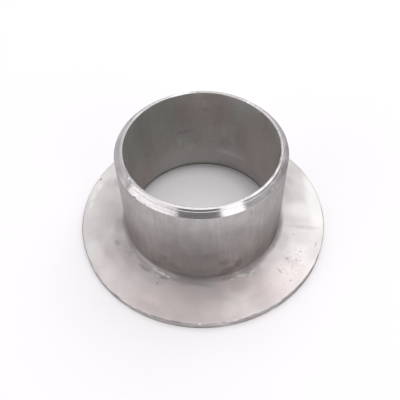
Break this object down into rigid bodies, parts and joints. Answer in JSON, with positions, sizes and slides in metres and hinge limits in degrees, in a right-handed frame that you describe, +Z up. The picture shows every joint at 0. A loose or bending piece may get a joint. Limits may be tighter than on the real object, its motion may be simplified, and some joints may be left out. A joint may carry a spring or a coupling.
{
  "type": "lap joint stub end",
  "caption": "Short steel pipe stub flared into a flat round lap at one end and bevelled for a butt weld at the other; carries a loose backing flange.",
  "frame": {"origin": "centre of the gasket face, on the axis", "axes": "+Z up the barrel's axis from the gasket face to the weld end; the part is round, so X and Y are free"},
  "size_m": [0.09, 0.09, 0.04],
  "materials": {
    "stainless_steel": "satin pickled steel with a bright turned weld bevel"
  },
  "bodies": {
    "root": {"stub_end": "stainless_steel"}
  },
  "joints": []
}
